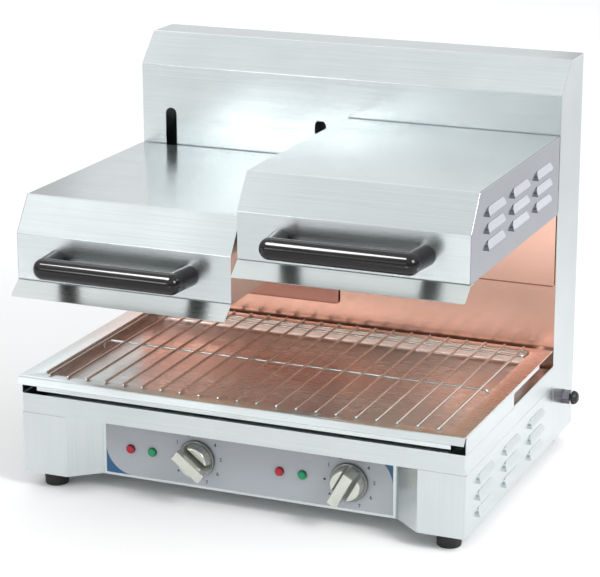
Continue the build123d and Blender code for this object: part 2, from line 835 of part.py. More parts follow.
# Drip tray and wire rack.
def drip_tray():
    # Floor, walls and rim strips of sheet that meet edge to edge, a bent lip along the front and an apron
    # below it.
    z0, z1 = rim_z - well_depth, rim_z
    under = z1 - tray_t
    front, back = well_front - tray_t, well_back + tray_t
    rim_y0 = tray_front + tray_lip_flat
    side_wall = block(well_half, well_half + tray_t, front, back, z0 + tray_t, under)
    side_rim = block(well_half, half_w, rim_y0, tray_back, under, z1)
    lip_path = [(rim_y0, z1), (tray_front, z1), (tray_front - tray_lip_out, z1 - tray_lip_drop)]
    return grouped([
        block(-well_half - tray_t, well_half + tray_t, front, back, z0, z0 + tray_t),
        side_wall, mirrored(side_wall),
        block(-well_half, well_half, front, well_front, z0 + tray_t, under),
        block(-well_half, well_half, well_back, back, z0 + tray_t, under),
        side_rim, mirrored(side_rim),
        block(-well_half, well_half, rim_y0, well_front, under, z1),
        block(-apron_half, apron_half, rim_y0, rim_y0 + tray_t, band_z1 + apron_gap, under),
        block(-well_half, well_half, well_back, tray_back, under, z1),
        fold("x", lip_path, tray_t, -half_w, half_w, tray_lip_r),
    ])


def wire_rack():
    # Every straight run and every bent end is a solid of its own; the cross wires are notched where the
    # long wires are welded in.
    z = rim_z + slip + wire_r
    low = z - 2 * wire_r + weld_sink
    pitch = 2 * wire_half / (wire_count - 1)
    long_wires = []
    for i in range(wire_count):
        wire = rod_along_y(-wire_half + pitch * i, z, wire_y0, wire_y1, wire_r)
        long_wires.append(fillet(wire.edges().filter_by(GeomType.CIRCLE), wire_end_r))
    end = wire_half + cross_out
    turn = end - 2 * cross_bend
    y0, y1 = rear_run_y0, rear_run_y1
    down = (end, cross_y, low - cross_drop)
    hook = pipe([(turn, cross_y, low), (end, cross_y, low), down], cross_bend, wire_r)
    loop = pipe([(turn, y0, low), (end, y0, low), (end, y1, low), (turn, y1, low)], cross_bend, wire_r)
    crossing = [rod_x(y, low, -turn, turn, wire_r) for y in (cross_y, y0, y1)]
    crossing += [hook, mirrored(hook), loop, mirrored(loop)]
    return grouped(long_wires + [wire.cut(*long_wires) for wire in crossing])


def build_root():
    side = base_side()
    save("right_base_side", side)
    save("left_base_side", mirrored(side))
    save("right_pillar", pillar())
    save("left_pillar", mirrored(pillar()))
    save("band_frame", band_frame())
    save("right_wall", upper_wall())
    save("left_wall", mirrored(upper_wall()))
    save("tray_rails", grouped([tray_rail(), mirrored(tray_rail())]))
    save("base_floor", base_floor())
    save("base_deck", base_deck())
    save("feet", grouped(Pos(x, y, 0) * foot() for x, y in foot_spots))
    save("foot_screws", grouped(Pos(x, y, 0) * foot_screw() for x, y in foot_spots))
    save("control_panel", control_panel())
    save("control_overlay", control_overlay())
    save("power_lamps", grouped(lamp(x) for x in power_xs))
    save("ready_lamps", grouped(lamp(x) for x in ready_xs))
    save("thermostats", grouped(thermostat(x) for x in knob_xs))
    save("right_column_side", right_column_side())
    save("left_column_side", mirrored(column_side()))
    save("column_front", column_front())
    save("column_cap", column_cap())
    save("rear_cover", rear_cover())
    spots = [(s * (inner_w - rear_screw_inset), z) for s in (-1, 1) for z in rear_screw_zs]
    save("rear_screws", grouped(rear_screw(x, z) for x, z in spots))
    rods = [rod_z(s * x, rod_y, bar_z1, upper_bar_z0, rod_r) for s in (-1, 1) for x in rod_xs]
    save("guide_rods", grouped(rods))
    save("rod_crossbars", grouped([crossbar(bar_z0), crossbar(upper_bar_z0)]))
    save("strut_bodies", grouped([strut_body(-strut_x), strut_body(strut_x)]))
    save("cutout_switch", cutout_switch())
    save("cutout_nut", cutout_nut())
    save("cutout_cap", cutout_cap())


def build_heads():
    pieces = {
        "hood": hood(),
        "hood_side": hood_side(),
        "skirt": skirt(),
        "handle": handle(),
        "handle_screws": grouped(handle_screw(x) for x in handle_xs),
        "rear_shield": rear_shield(),
        "reflector": reflector(),
        "insulation": insulation(),
        "element": element(),
        "element_hangers": grouped(element_hanger(head_mid + s * hanger_x) for s in (-1, 1)),
        "carriage": carriage(),
        "strut_rod": strut_rod(),
    }
    for name, shape in pieces.items():
        save("right_" + name, Pos(0, 0, right_rest) * shape)
        save("left_" + name, Pos(0, 0, left_rest) * mirrored(shape))


def build_controls():
    for i, side in enumerate(("left", "right")):
        save(side + "_knob", placed_knob(i))
        save(side + "_spindle", spindle(knob_xs[i]))


build_root()
build_heads()
build_controls()
save("drip_tray", drip_tray())
save("wire_rack", wire_rack())
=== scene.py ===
import bpy
import math
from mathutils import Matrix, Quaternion, Vector


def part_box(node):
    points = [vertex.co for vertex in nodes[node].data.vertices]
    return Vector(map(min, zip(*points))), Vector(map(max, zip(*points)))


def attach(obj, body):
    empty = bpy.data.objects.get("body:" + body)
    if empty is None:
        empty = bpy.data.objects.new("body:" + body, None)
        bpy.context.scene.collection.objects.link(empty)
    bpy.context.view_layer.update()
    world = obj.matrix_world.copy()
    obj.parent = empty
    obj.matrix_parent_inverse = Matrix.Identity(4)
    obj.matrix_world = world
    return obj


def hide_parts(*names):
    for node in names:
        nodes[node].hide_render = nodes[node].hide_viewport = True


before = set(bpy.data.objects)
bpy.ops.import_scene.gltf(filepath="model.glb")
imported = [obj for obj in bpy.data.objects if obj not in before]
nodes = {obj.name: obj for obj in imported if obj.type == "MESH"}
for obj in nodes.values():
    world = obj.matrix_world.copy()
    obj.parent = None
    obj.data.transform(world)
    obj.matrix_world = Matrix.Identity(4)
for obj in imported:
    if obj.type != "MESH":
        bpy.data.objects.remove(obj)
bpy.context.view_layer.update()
sides = ("left", "right")
mm = 1 / 1000     # sizes in the dictionaries are in millimetres, except those of the studio and its camera
print("frame loaded:", len(nodes), "nodes")


# Colours and nodes.
def linear(hexColour):
    channels = [int(hexColour[i:i + 2], 16) / 255 for i in (1, 3, 5)]
    return [c / 12.92 if c <= 0.04045 else ((c + 0.055) / 1.055) ** 2.4 for c in channels] + [1.0]


def newMaterial(name):
    material = bpy.data.materials.new(name)
    material.use_nodes = True
    return material, material.node_tree, material.node_tree.nodes["Principled BSDF"]


def setSockets(tree, node, sockets):
    for name, value in sockets.items():
        if isinstance(value, bpy.types.NodeSocket):
            tree.links.new(value, node.inputs[name])
        else:
            node.inputs[name].default_value = value


def addNode(tree, kind, sockets=None, **settings):
    node = tree.nodes.new(kind)
    for name, value in settings.items():
        setattr(node, name, value)
    setSockets(tree, node, sockets or {})
    return node


def dress(material, *names):
    for name in names:
        slots = nodes[name].data.materials
        slots.clear()
        slots.append(material)


# where the sum of two noises mostly lies
noiseSum = {"From Min": 0.7, "From Max": 1.3}

# Stainless sheet with a satin brushed finish: a grey metal whose fine lines all run one way and smear what
# it mirrors, with faint cloudy wipe marks. On the sheets near the elements a salmon tint is painted in for
# the warm glow they mirror.
brushed = {
    "colour": "#d3d9da",
    "dull": "#c9d0d1",
    "roughness": (0.2, 0.27),
    "lineWidth": 1.6,      # real lines are near 0.1 mm; drawn wider so that they show
    "lineLength": 160.0,
    "cloudSize": 110.0,
    "lineDepth": 0.002,
    "smear": 0.6,
}
acrossGrain = {"x": (0, 1, 1), "y": (1, 0, 1), "z": (1, 1, 0), "level": (0, 0, 1)}
# a little askew, so that a face square to the lines still has a direction
alongGrain = {"x": (1, 0.04, 0.05), "y": (0.04, 1, 0.05), "z": (0.04, 0.05, 1)}


def brushedSteel(name, grain, look, glowTint=None, shadowLineTo=None):
    material, tree, shader = newMaterial(name)
    place = addNode(tree, "ShaderNodeTexCoord").outputs["Object"]
    fine, long = 1 / (look["lineWidth"] * mm), 1 / (look["lineLength"] * mm)
    stretch = [fine if across else long for across in acrossGrain[grain]]
    along = addNode(tree, "ShaderNodeMapping", {"Vector": place, "Scale": stretch}).outputs["Vector"]
    lines = addNode(tree, "ShaderNodeTexNoise", {
        "Vector": along, "Scale": 1.0, "Detail": 3.0, "Roughness": 0.6}).outputs["Fac"]
    clouds = addNode(tree, "ShaderNodeTexNoise", {
        "Vector": place, "Scale": 1 / (look["cloudSize"] * mm), "Detail": 3.0,
        "Roughness": 0.5}).outputs["Fac"]
    mixed = addNode(tree, "ShaderNodeMath", {0: lines, 1: clouds}, operation="ADD").outputs[0]
    tone = addNode(tree, "ShaderNodeMapRange", {"Value": mixed, **noiseSum})
    colour = addNode(tree, "ShaderNodeMix", {
        "Factor": tone.outputs["Result"], "A": linear(look["colour"]), "B": linear(look["dull"])},
        data_type="RGBA").outputs["Result"]
    if glowTint:
        # painted glow: a salmon tint for the elements' warm light mirrored by the sheet, grown from one
        # height (or depth) to another, with a ragged edge
        axes = addNode(tree, "ShaderNodeSeparateXYZ", {"Vector": place})
        ragged = addNode(tree, "ShaderNodeMath", {
            0: clouds, 1: glowTint["ragged"] * mm, 2: axes.outputs[glowTint["axis"]]}, operation="MULTIPLY_ADD")
        reach = addNode(tree, "ShaderNodeMapRange", {
            "Value": ragged.outputs[0], "From Min": glowTint["none"] * mm, "From Max": glowTint["full"] * mm,
            "To Max": glowTint["most"]}, interpolation_type="SMOOTHSTEP")
        colour = addNode(tree, "ShaderNodeMix", {
            "Factor": reach.outputs["Result"], "A": colour, "B": linear(glowTint["colour"])},
            data_type="RGBA").outputs["Result"]
    if shadowLineTo:
        # painted shadow: a dark line along the lower edge, up to this height, for the shade in the gap under
        # it
        inShadowLine = addNode(tree, "ShaderNodeMath", {0: axes.outputs["Z"], 1: shadowLineTo}, operation="LESS_THAN")
        colour = addNode(tree, "ShaderNodeMix", {
            "Factor": inShadowLine.outputs[0], "A": colour, "B": linear(glowTint["shadowLine"])},
            data_type="RGBA").outputs["Result"]
    low, high = look["roughness"]
    rough = addNode(tree, "ShaderNodeMapRange", {"Value": mixed, "To Min": low, "To Max": high, **noiseSum})
    bump = addNode(tree, "ShaderNodeBump", {
        "Height": lines, "Strength": 0.25, "Distance": look["lineDepth"] * mm})
    setSockets(tree, shader, {
        "Base Color": colour, "Roughness": rough.outputs["Result"], "Normal": bump.outputs["Normal"],
        "Metallic": 1.0})
    if grain in alongGrain and look["smear"]:
        # reflections spread across the lines
        facing = addNode(tree, "ShaderNodeNewGeometry").outputs["True Normal"]
        across = addNode(tree, "ShaderNodeVectorMath", {0: facing, 1: alongGrain[grain]},
                         operation="CROSS_PRODUCT")
        setSockets(tree, shader, {"Anisotropic": look["smear"], "Tangent": across.outputs["Vector"]})
    return material


steelX = brushedSteel("brushedStainlessAcross", "x", brushed)
steelY = brushedSteel("brushedStainlessAlong", "y", dict(brushed, smear=0.2))
steelZ = brushedSteel("brushedStainlessUpright", "z", brushed)
steelLevel = brushedSteel("brushedStainlessLevel", "level", brushed)
dress(steelX, "left_hood", "right_hood", "column_cap", "rear_cover", "control_panel")
dress(steelY, "left_base_side", "right_base_side", "base_floor", "tray_rails", "left_wall", "right_wall")
dress(steelZ, "left_column_side", "right_column_side", "left_pillar", "right_pillar")
dress(steelLevel, "band_frame", "base_deck")

# The sides of the heads have a finer finish; their cooler, greyer colour is painted shade for the dimmer
# surroundings they mirror.
shadedHeadSide = dict(brushed, colour="#a4a6ad", dull="#9c9ea5", roughness=(0.13, 0.19), smear=0.2)
dress(brushedSteel("shadedFineBrushedStainless", "y", shadedHeadSide), "left_hood_side", "right_hood_side")

# Painted glow on the column's front: a salmon tint for the elements' warm light it mirrors, none above one
# height, full below another.
wallGlowTint = {"axis": "Z", "ragged": 60.0, "none": 330.0, "full": 270.0, "most": 0.95, "colour": "#ffc9b4"}
dress(brushedSteel("glowTintedStainless", "x", brushed, wallGlowTint), "column_front")

# The shields have the painted glow higher up, browner behind the lower head as painted shade, and a painted
# shadow line along the lower edge.
shieldGlowTint = dict(wallGlowTint, none=440.0, full=380.0, shadowLine="#a86f5f", shadowLineHeight=1.8)
shieldGlowShadeColour = {"left": "#c08676", "right": "#ffc9b4"}
for side in sides:
    shield = side + "_rear_shield"
    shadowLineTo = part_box(shield)[0][2] + shieldGlowTint["shadowLineHeight"] * mm
    glowTint = dict(shieldGlowTint, colour=shieldGlowShadeColour[side])
    dress(brushedSteel(side + "GlowShadedShield", "x", brushed, glowTint, shadowLineTo), shield)

# Polished sheet of the reflectors: the same metal as a clearer mirror.
polished = dict(brushed, roughness=(0.15, 0.21), colour="#d6dcda", dull="#ced4d2")
dress(brushedSteel("polishedStainless", "x", polished), "left_reflector", "right_reflector")

# Skirts: the polished sheet dulled by wiping, so that it blurs what it mirrors.
skirtLook = dict(polished, roughness=(0.27, 0.33), smear=0.3)
dress(brushedSteel("wipedStainless", "x", skirtLook), "left_skirt", "right_skirt")

# Tray sheet: pale, scoured to a softer shine, with a painted reflection of the salmon wall growing towards
# the rear.
trayGlowReflection = {"axis": "Y", "ragged": 120.0, "none": -100.0, "full": 180.0, "most": 0.8, "colour": "#dfc3b8"}
trayLook = dict(polished, roughness=(0.24, 0.34), colour="#e3ebeb", dull="#d5dbdb")
traySteel = brushedSteel("glowReflectionTray", "x", trayLook, trayGlowReflection)
dress(traySteel, "drip_tray")

# Drawn wire, plated before welding: bright, with short scratches along it.
wireLook = dict(polished, roughness=(0.14, 0.24), lineLength=30.0, cloudSize=40.0, smear=0.0)
dress(brushedSteel("brightDrawnWire", "y", wireLook), "wire_rack")

# Zinc plated small steel: greyer and duller than the sheet, with blotches a few millimetres wide.
zincLook = dict(brushed, colour="#b9bcbd", dull="#9fa3a5", roughness=(0.3, 0.48), lineWidth=2.0,
                lineLength=6.0, cloudSize=9.0, smear=0.0)
zincSteel = brushedSteel("zincPlatedSteel", "z", zincLook)
dress(zincSteel, "foot_screws", "rear_screws", "guide_rods", "rod_crossbars", "strut_bodies")
for side in sides:
    for name in ("handle_screws", "carriage", "strut_rod", "element_hangers", "spindle"):
        dress(zincSteel, side + "_" + name)

# Nickel plate on the cut-out's nut: a sharper mirror than zinc, its smoky grey a painted shade for the dark
# surroundings it mirrors.
shadedNickelLook = dict(zincLook, colour="#7d7880", dull="#6a666d", roughness=(0.16, 0.26))
dress(brushedSteel("shadedNickelPlate", "z", shadedNickelLook), "cutout_nut")


# Mouldings: a colour that wanders a little, and a grain that breaks up the gloss.
def moulding(name, look):
    material, tree, shader = newMaterial(name)
    place = addNode(tree, "ShaderNodeTexCoord").outputs["Object"]
    grain = addNode(tree, "ShaderNodeTexNoise", {
        "Vector": place, "Scale": 1 / (look["grain"] * mm), "Detail": 4.0, "Roughness": 0.6}).outputs["Fac"]
    patches = addNode(tree, "ShaderNodeTexNoise", {
        "Vector": place, "Scale": 1 / (look["patch"] * mm), "Detail": 2.0}).outputs["Fac"]
    both = addNode(tree, "ShaderNodeMath", {0: grain, 1: patches}, operation="ADD").outputs[0]
    tone = addNode(tree, "ShaderNodeMapRange", {"Value": both, **noiseSum})
    colour = addNode(tree, "ShaderNodeMix", {
        "Factor": tone.outputs["Result"], "A": linear(look["colour"]), "B": linear(look["worn"])},
        data_type="RGBA").outputs["Result"]
    if "skirt" in look:
        # painted shade: the skirt and the groove floors behind this depth are coloured darker
        depth = addNode(tree, "ShaderNodeSeparateXYZ", {"Vector": place}).outputs["Y"]
        behind = addNode(tree, "ShaderNodeMath", {0: depth, 1: look["skirtFrom"]}, operation="GREATER_THAN")
        colour = addNode(tree, "ShaderNodeMix", {
            "Factor": behind.outputs[0], "A": colour, "B": linear(look["skirt"])},
            data_type="RGBA").outputs["Result"]
    low, high = look["roughness"]
    rough = addNode(tree, "ShaderNodeMapRange", {"Value": both, "To Min": low, "To Max": high, **noiseSum})
    bump = addNode(tree, "ShaderNodeBump", {
        "Height": grain, "Strength": 0.4, "Distance": look["depth"] * mm})
    setSockets(tree, shader, {
        "Base Color": colour, "Roughness": rough.outputs["Result"], "Normal": bump.outputs["Normal"]})
    setSockets(tree, shader, look.get("sockets", {}))
    return material


# Phenolic resin, pressed in a polished mould: deep black, with a hard wet gloss and a slight ripple.
bakelite = moulding("blackBakelite", {
    "colour": "#0d0b0c", "worn": "#151214", "roughness": (0.07, 0.13),
    "grain": 9.0, "patch": 40.0, "depth": 0.02,
    "sockets": {"IOR": 1.6, "Specular IOR Level": 0.28}})
# Moulded rubber: nearly black, soft sheen, dusty grain.
rubber = moulding("mouldedRubber", {
    "colour": "#141314", "worn": "#232223", "roughness": (0.5, 0.68),
    "grain": 1.2, "patch": 14.0, "depth": 0.06})
# Silver lacquer over ABS: metal flakes in a pale grey give a soft metallic sheen. The skirt behind is
# darkened with painted shade.
knobSkirt = 4.3
silverAbs = moulding("silverLacqueredAbs", {
    "colour": "#d3d6cc", "worn": "#c6c9bf", "roughness": (0.2, 0.28),
    "grain": 0.9, "patch": 12.0, "depth": 0.008,
    "skirt": "#7f8280", "skirtFrom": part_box("left_knob")[1][1] - knobSkirt * mm,
    "sockets": {"Metallic": 0.85}})
# Black polyamide with a fine spark-eroded texture: satin, a little grey at grazing angles.
polyamide = moulding("blackPolyamide", {
    "colour": "#121213", "worn": "#1d1d1f", "roughness": (0.38, 0.5),
    "grain": 0.8, "patch": 10.0, "depth": 0.03})
# Ivory melamine on the thermostat bodies: pale, dry and even.
melamine = moulding("ivoryMelamine", {
    "colour": "#d9d2c0", "worn": "#cbc2ac", "roughness": (0.35, 0.5),
    "grain": 1.5, "patch": 15.0, "depth": 0.02})
# Ceramic wool board: off-white, matted fibres a few tenths of a millimetre thick, drawn wider to show.
wool = moulding("ceramicWoolBoard", {
    "colour": "#f1ede2", "worn": "#ddd6c6", "roughness": (0.85, 0.98),
    "grain": 2.2, "patch": 22.0, "depth": 0.5})
dress(rubber, "feet")
dress(polyamide, "cutout_cap", "cutout_switch")
dress(melamine, "thermostats")
for side in sides:
    dress(bakelite, side + "_handle")
    dress(silverAbs, side + "_knob")
    dress(wool, side + "_insulation")

# Coloured polycarbonate lens: saturated and glossy, darkened with painted shade towards the foot.
lens = {"rise": 3.2, "flow": 2.5, "roughness": (0.08, 0.2)}


def lampLens(name, colour, footShade, node):
    material, tree, shader = newMaterial(name)
    place = addNode(tree, "ShaderNodeTexCoord").outputs["Object"]
    depth = addNode(tree, "ShaderNodeSeparateXYZ", {"Vector": place}).outputs["Y"]
    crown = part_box(node)[0][1]
    # painted shade: darker from the crown towards the foot
    foot = addNode(tree, "ShaderNodeMapRange", {
        "Value": depth, "From Min": crown, "From Max": crown + lens["rise"] * mm})
    shade = addNode(tree, "ShaderNodeMix", {
        "Factor": foot.outputs["Result"], "A": linear(colour), "B": linear(footShade)}, data_type="RGBA")
    flow = addNode(tree, "ShaderNodeTexNoise", {
        "Vector": place, "Scale": 1 / (lens["flow"] * mm), "Detail": 2.0}).outputs["Fac"]
    low, high = lens["roughness"]
    rough = addNode(tree, "ShaderNodeMapRange", {"Value": flow, "To Min": low, "To Max": high})
    setSockets(tree, shader, {
        "Base Color": shade.outputs["Result"], "Roughness": rough.outputs["Result"], "IOR": 1.58,
        "Specular IOR Level": 0.35, "Coat Weight": 0.1, "Coat Roughness": 0.06})
    dress(material, node)


lampLens("redPolycarbonate", "#ae1027", "#4e0810", "power_lamps")
lampLens("greenPolycarbonate", "#008f5c", "#00402a", "ready_lamps")

# Incoloy tube of the elements at work: dark oxide scale that glows dull orange from within.
heater = {"scale": "#3a2620", "pale": "#5a4238", "roughness": (0.5, 0.8), "metallic": 0.4,
          "glow": "#ffbf96", "strength": 1.2, "grain": 3.0}


def heaterTube(look):
    material, tree, shader = newMaterial("glowingIncoloy")
    place = addNode(tree, "ShaderNodeTexCoord").outputs["Object"]
    crust = addNode(tree, "ShaderNodeTexNoise", {
        "Vector": place, "Scale": 1 / (look["grain"] * mm), "Detail": 4.0}).outputs["Fac"]
    colour = addNode(tree, "ShaderNodeMix", {
        "Factor": crust, "A": linear(look["scale"]), "B": linear(look["pale"])}, data_type="RGBA")
    low, high = look["roughness"]
    rough = addNode(tree, "ShaderNodeMapRange", {"Value": crust, "To Min": low, "To Max": high})
    setSockets(tree, shader, {
        "Base Color": colour.outputs["Result"], "Roughness": rough.outputs["Result"],
        "Metallic": look["metallic"],
        "Emission Color": linear(look["glow"]), "Emission Strength": look["strength"]})
    return material


dress(heaterTube(heater), "left_element", "right_element")

# Printed polyester film on the control panel: cool grey with a fine speckle and a satin face; a plain blue
# field fills two corners, outside a wide rounding of the grey one.
film = {"grey": "#a9adb2", "speck": "#a0a4aa", "blue": "#17547c", "rounding": 39.0,
        "speckSize": 0.8, "speckDepth": 0.01, "roughness": (0.34, 0.5)}


def printedFilm(look):
    material, tree, shader = newMaterial("printedPolyesterFilm")
    low, high = (Vector(corner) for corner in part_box("control_overlay"))
    middle, half = (low + high) / 2, (high - low) / 2
    rounding = look["rounding"] * mm
    place = addNode(tree, "ShaderNodeTexCoord").outputs["Object"]
    centred = addNode(tree, "ShaderNodeVectorMath", {0: place, 1: middle}, operation="SUBTRACT")
    axes = addNode(tree, "ShaderNodeSeparateXYZ", {"Vector": centred.outputs["Vector"]})
    way = addNode(tree, "ShaderNodeMath", {0: axes.outputs["X"]}, operation="SIGN").outputs[0]
    arms = []
    for axis, reach in (("X", half.x), ("Z", half.z)):
        turned = addNode(tree, "ShaderNodeMath", {0: axes.outputs[axis], 1: way}, operation="MULTIPLY")
        past = addNode(tree, "ShaderNodeMath", {0: turned.outputs[0], 1: reach - rounding},
                       operation="SUBTRACT")
        arm = addNode(tree, "ShaderNodeMath", {0: past.outputs[0], 1: 0.0}, operation="MAXIMUM")
        arms.append(arm.outputs[0])
    corner = addNode(tree, "ShaderNodeCombineXYZ", {"X": arms[0], "Y": arms[1]})
    distance = addNode(tree, "ShaderNodeVectorMath", {0: corner.outputs["Vector"]}, operation="LENGTH")
    outside = addNode(tree, "ShaderNodeMath", {0: distance.outputs["Value"], 1: rounding},
                      operation="GREATER_THAN")
    specks = addNode(tree, "ShaderNodeTexNoise", {
        "Vector": place, "Scale": 1 / (look["speckSize"] * mm), "Detail": 2.0,
        "Roughness": 0.7}).outputs["Fac"]
    grey = addNode(tree, "ShaderNodeMix", {
        "Factor": specks, "A": linear(look["grey"]), "B": linear(look["speck"])}, data_type="RGBA")
    colour = addNode(tree, "ShaderNodeMix", {
        "Factor": outside.outputs[0], "A": grey.outputs["Result"], "B": linear(look["blue"])},
        data_type="RGBA")
    smooth, dull = look["roughness"]
    rough = addNode(tree, "ShaderNodeMapRange", {"Value": specks, "To Min": smooth, "To Max": dull})
    bump = addNode(tree, "ShaderNodeBump", {
        "Height": specks, "Strength": 0.3, "Distance": look["speckDepth"] * mm})
    setSockets(tree, shader, {
        "Base Color": colour.outputs["Result"], "Roughness": rough.outputs["Result"],
        "Normal": bump.outputs["Normal"], "IOR": 1.57})
    return material


dress(printedFilm(film), "control_overlay")
print("CAD nodes dressed")


# Modelling helpers.
def deselectAll():
    if bpy.context.object and bpy.context.object.mode != "OBJECT":
        bpy.ops.object.mode_set(mode="OBJECT")
    bpy.ops.object.select_all(action="DESELECT")


def takeUp(piece):
    deselectAll()
    piece.select_set(True)
    bpy.context.view_layer.objects.active = piece


def settle(piece):
    takeUp(piece)
    bpy.ops.object.transform_apply(location=True, rotation=True, scale=True)


# Screen print ink: a thin dark grey film, slightly uneven.
inkLook = {"colour": "#1f2228", "thin": "#2e323a", "roughness": (0.4, 0.55), "grain": 0.6}


def screenInk(look):
    material, tree, shader = newMaterial("screenPrintInk")
    place = addNode(tree, "ShaderNodeTexCoord").outputs["Object"]
    grain = addNode(tree, "ShaderNodeTexNoise", {
        "Vector": place, "Scale": 1 / (look["grain"] * mm), "Detail": 2.0}).outputs["Fac"]
    tone = addNode(tree, "ShaderNodeMix", {
        "Factor": grain, "A": linear(look["colour"]), "B": linear(look["thin"])}, data_type="RGBA")
    low, high = look["roughness"]
    rough = addNode(tree, "ShaderNodeMapRange", {"Value": grain, "To Min": low, "To Max": high})
    setSockets(tree, shader, {"Base Color": tone.outputs["Result"], "Roughness": rough.outputs["Result"]})
    return material


# Dials: numbers round each knob, a dot at the off place and a wedge at the top setting, all at places given
# in degrees clockwise from the top.
dial = {
    "radius": 33.0,
    "letter": 7.2,
    "weight": 0.12,        # how far the outline of a number is fattened
    "count": 7,
    "first": 303.5,
    "step": 35.5,
    "marks": {
        "off": {"clock": 268.0, "radius": 1.7, "corners": 24},
        "top": {"clock": 233.0, "radius": 2.3, "corners": 3},
    },
    "lift": 0.06,          # keeps the ink clear of the film
}


def stampInk(piece, place):
    takeUp(piece)
    bpy.ops.object.convert(target="MESH")
    piece.rotation_euler = (math.pi / 2, 0, 0)
    piece.location = place
    settle(piece)


def dialPrint(side, values, ink):
    low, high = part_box(side + "_spindle")
    axis = (Vector(low) + Vector(high)) / 2
    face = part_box("control_overlay")[0][1] - values["lift"] * mm

    def spot(clock):
        turn, reach = math.radians(clock), values["radius"] * mm
        return Vector((axis.x + reach * math.sin(turn), face, axis.z + reach * math.cos(turn)))

    prints = []
    for i in range(values["count"]):
        deselectAll()
        bpy.ops.object.text_add()
        letter = bpy.context.object
        letter.data.body = str(i + 1)
        letter.data.size = values["letter"] * mm
        letter.data.offset = values["weight"] * mm
        letter.data.align_x, letter.data.align_y = "CENTER", "CENTER"
        letter.data.resolution_u = 4
        stampInk(letter, spot(values["first"] + values["step"] * i))
        prints.append(letter)
    for mark in values["marks"].values():
        deselectAll()
        bpy.ops.mesh.primitive_circle_add(
            vertices=mark["corners"], radius=mark["radius"] * mm, fill_type="NGON")
        shape = bpy.context.object
        stampInk(shape, spot(mark["clock"]))
        prints.append(shape)
    takeUp(prints[0])
    for piece in prints:
        piece.select_set(True)
    bpy.ops.object.join()
    scale = bpy.context.object
    scale.name = side + "DialPrint"
    scale.data.materials.clear()
    scale.data.materials.append(ink)
    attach(scale, "cabinet")


ink = screenInk(inkLook)
for side in sides:
    dialPrint(side, dial, ink)
print("dial prints done")

# Drip tray as it is pressed from one sheet: rounded well, wide rim, folded front lip with an apron behind it.
tray = {
    "rim": 26.0, "front": 20.0, "back": 12.0, "depth": 22.0, "sheet": 1.5,
    "lipOut": 6.5, "lipDrop": 9.2,
    "cornerRadius": 11.0, "footRadius": 5.0, "edgeRadius": 2.6,
    "apronIn": 20.5, "apronBack": 14.5, "apronDrop": 20.8, "apronBevel": 0.45,
    "smoothUnder": 40.0,   # folds flatter than this many degrees are shaded smooth
}
near = 0.01 * mm           # a point nearer than this to a line or place lies on it


def lies(value, line):
    return abs(value - line) < near


def pickEdges(piece, test):
    bpy.ops.object.mode_set(mode="EDIT")
    bpy.ops.mesh.select_mode(type="EDGE")
    bpy.ops.mesh.select_all(action="DESELECT")
    bpy.ops.object.mode_set(mode="OBJECT")
    mesh = piece.data
    for edge in mesh.edges:
        a, b = (mesh.vertices[i].co for i in edge.vertices)
        edge.select = test(a, b)
    bpy.ops.object.mode_set(mode="EDIT")


def formSheet(values, low, high):
    rim, front = values["rim"] * mm, low.y + values["lipOut"] * mm
    x0, x1 = low.x + rim, high.x - rim
    y0, y1 = front + values["front"] * mm, high.y - values["back"] * mm
    top, floor = high.z, high.z - (values["depth"] - values["sheet"]) * mm

    def alongAt(y):
        return lambda a, b: lies(a.y, y) and lies(b.y, y)

    def onWellRim(point):
        inWidth = x0 - near <= point.x <= x1 + near
        return inWidth and y0 - near <= point.y <= y1 + near and lies(point.z, top)

    def onLipFold(point):
        return lies(point.y, front) and lies(point.z, top)

    deselectAll()
    bpy.ops.mesh.primitive_plane_add(size=1, location=((x0 + x1) / 2, (front + high.y) / 2, top))
    piece = bpy.context.object
    piece.name = "formedTray"
    piece.scale = (high.x - low.x, high.y - front, 1)
    settle(piece)
    # rim: the sheet is inset by the side rims, then the front and back edges of the well are set
    bpy.ops.object.mode_set(mode="EDIT")
    bpy.ops.mesh.select_all(action="SELECT")
    bpy.ops.mesh.inset(thickness=rim)
    pickEdges(piece, alongAt(front + rim))
    bpy.ops.transform.translate(value=(0, y0 - front - rim, 0))
    pickEdges(piece, alongAt(high.y - rim))
    bpy.ops.transform.translate(value=(0, y1 - high.y + rim, 0))
    # well: the inner face goes down
    bpy.ops.mesh.select_mode(type="FACE")
    bpy.ops.mesh.select_all(action="DESELECT")
    bpy.ops.object.mode_set(mode="OBJECT")
    middle = Vector(((x0 + x1) / 2, (y0 + y1) / 2, top))
    for face in piece.data.polygons:
        face.select = (face.center - middle).length < near
    bpy.ops.object.mode_set(mode="EDIT")
    bpy.ops.mesh.extrude_region_move(TRANSFORM_OT_translate={"value": (0, 0, floor - top)})
    # lip: the front edge goes forward and down
    pickEdges(piece, alongAt(front))
    bpy.ops.mesh.extrude_region_move(TRANSFORM_OT_translate={
        "value": (0, -values["lipOut"] * mm, -values["lipDrop"] * mm)})
    # roundings: upright corners first, then the foot of the well, then its rim and the fold of the lip
    pickEdges(piece, lambda a, b: lies(a.x, b.x) and lies(a.y, b.y))
    bpy.ops.mesh.bevel(offset=values["cornerRadius"] * mm, segments=6)
    pickEdges(piece, lambda a, b: lies(a.z, floor) and lies(b.z, floor))
    bpy.ops.mesh.bevel(offset=values["footRadius"] * mm, segments=4)
    pickEdges(piece, lambda a, b: (onWellRim(a) and onWellRim(b)) or (onLipFold(a) and onLipFold(b)))
    bpy.ops.mesh.bevel(offset=values["edgeRadius"] * mm, segments=3)
    bpy.ops.object.mode_set(mode="OBJECT")
    footShade = piece.modifiers.new("sheet", "SOLIDIFY")
    footShade.thickness, footShade.offset = values["sheet"] * mm, -1
    takeUp(piece)
    bpy.ops.object.modifier_apply(modifier="sheet")
    return piece


